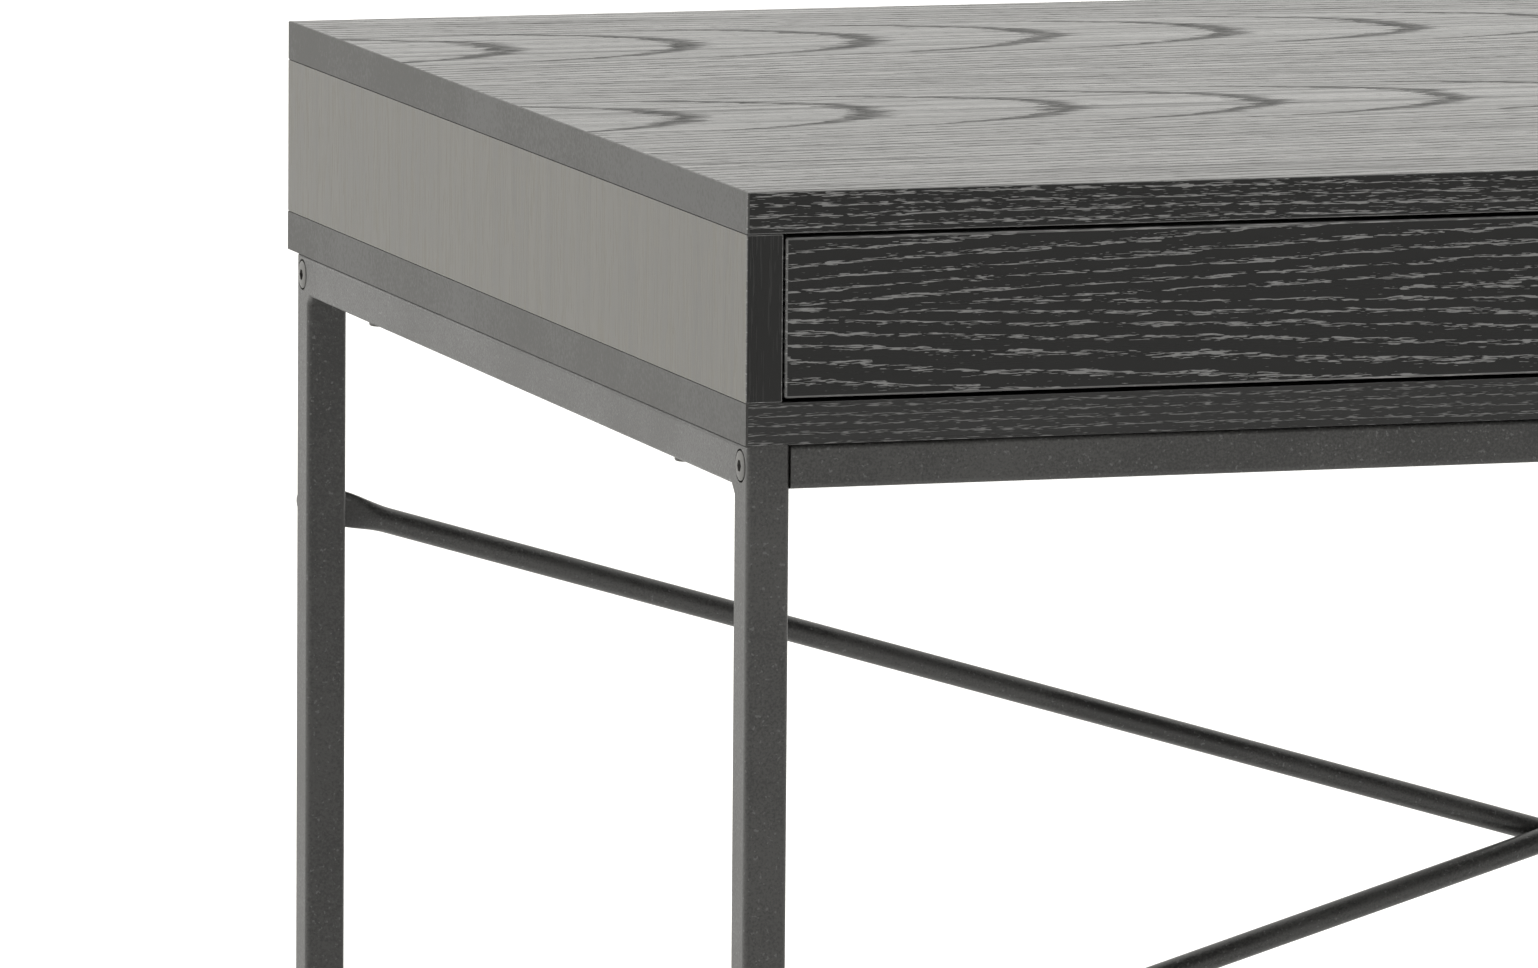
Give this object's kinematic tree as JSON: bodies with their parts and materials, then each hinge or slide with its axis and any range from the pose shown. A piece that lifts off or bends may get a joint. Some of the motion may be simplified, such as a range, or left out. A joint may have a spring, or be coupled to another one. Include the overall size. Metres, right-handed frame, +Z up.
{
  "type": "writing desk with drawers",
  "caption": "Writing desk: shallow black ash box with push-open drawers on a slim square-tube steel frame with a crossed rod brace at the back.",
  "frame": {"origin": "on the floor, under the middle of the desktop", "axes": "+X along the desk to the user's right, +Y from the front to the back, +Z up"},
  "size_m": [1.06, 0.6, 0.75],
  "materials": {
    "black_ash": "black ash melamine, satin, grain along the desk",
    "drawer_board": "plain black melamine, matt",
    "drawer_bottom": "black-faced thin fibreboard, matt",
    "powder_coat": "fine-textured black powder coat",
    "dark_fastener": "black zinc",
    "runner_steel": "zinc-plated cold-rolled steel",
    "plastic": "moulded black plastic, fine grain"
  },
  "bodies": {
    "desk": {"top_panel": "black_ash", "bottom_panel": "black_ash", "left_side_panel": "black_ash", "right_side_panel": "black_ash", "back_panel": "black_ash", "centre_divider": "black_ash", "left_front_leg": "powder_coat", "left_front_foot": "plastic", "left_front_frame_bolt": "dark_fastener", "left_front_board_screw": "dark_fastener", "left_back_leg": "powder_coat", "left_back_foot": "plastic", "left_back_frame_bolt": "dark_fastener", "left_back_board_screw": "dark_fastener", "left_side_rail": "powder_coat", "left_upper_brace_bolt": "dark_fastener", "left_lower_brace_bolt": "dark_fastener", "right_front_leg": "powder_coat", "right_front_foot": "plastic", "right_front_frame_bolt": "dark_fastener", "right_front_board_screw": "dark_fastener", "right_back_leg": "powder_coat", "right_back_foot": "plastic", "right_back_frame_bolt": "dark_fastener", "right_back_board_screw": "dark_fastener", "right_side_rail": "powder_coat", "right_upper_brace_bolt": "dark_fastener", "right_lower_brace_bolt": "dark_fastener", "front_rail": "powder_coat", "back_rail": "powder_coat", "brace_rod_falling_right": "powder_coat", "brace_rod_falling_left": "powder_coat", "left_drawer_left_runner_cabinet_channel": "runner_steel", "left_drawer_right_runner_cabinet_channel": "runner_steel", "left_drawer_latch_body": "plastic", "right_drawer_left_runner_cabinet_channel": "runner_steel", "right_drawer_right_runner_cabinet_channel": "runner_steel", "right_drawer_latch_body": "plastic"},
    "left_drawer": {"left_drawer_front": "black_ash", "left_drawer_left_side": "drawer_board", "left_drawer_right_side": "drawer_board", "left_drawer_back": "drawer_board", "left_drawer_bottom": "drawer_bottom", "left_drawer_left_runner_drawer_channel": "runner_steel", "left_drawer_right_runner_drawer_channel": "runner_steel"},
    "left_drawer_ball_cages": {"left_drawer_left_runner_ball_cage": "runner_steel", "left_drawer_right_runner_ball_cage": "runner_steel"},
    "left_drawer_latch_plunger": {"left_drawer_latch_plunger": "plastic"},
    "right_drawer": {"right_drawer_front": "black_ash", "right_drawer_left_side": "drawer_board", "right_drawer_right_side": "drawer_board", "right_drawer_back": "drawer_board", "right_drawer_bottom": "drawer_bottom", "right_drawer_left_runner_drawer_channel": "runner_steel", "right_drawer_right_runner_drawer_channel": "runner_steel"},
    "right_drawer_ball_cages": {"right_drawer_left_runner_ball_cage": "runner_steel", "right_drawer_right_runner_ball_cage": "runner_steel"},
    "right_drawer_latch_plunger": {"right_drawer_latch_plunger": "plastic"}
  },
  "joints": [
    {"name": "left_drawer_slide", "type": "slide", "parent": "desk", "child": "left_drawer", "axis": [0, -1, 0], "range_m": [0, 0.36]},
    {"name": "left_drawer_cages_roll", "type": "slide", "parent": "desk", "child": "left_drawer_ball_cages", "axis": [0, -1, 0], "range_m": [0, 0.18]},
    {"name": "left_drawer_latch_press", "type": "slide", "parent": "desk", "child": "left_drawer_latch_plunger", "axis": [0, 1, 0], "range_m": [0, 0.006], "stiffness_N_per_m": 150},
    {"name": "right_drawer_slide", "type": "slide", "parent": "desk", "child": "right_drawer", "axis": [0, -1, 0], "range_m": [0, 0.36]},
    {"name": "right_drawer_cages_roll", "type": "slide", "parent": "desk", "child": "right_drawer_ball_cages", "axis": [0, -1, 0], "range_m": [0, 0.18]},
    {"name": "right_drawer_latch_press", "type": "slide", "parent": "desk", "child": "right_drawer_latch_plunger", "axis": [0, 1, 0], "range_m": [0, 0.006], "stiffness_N_per_m": 150}
  ],
  "couplings": [
    {"joint": "left_drawer_cages_roll", "follows": "left_drawer_slide", "ratio": 0.5},
    {"joint": "right_drawer_cages_roll", "follows": "right_drawer_slide", "ratio": 0.5}
  ]
}
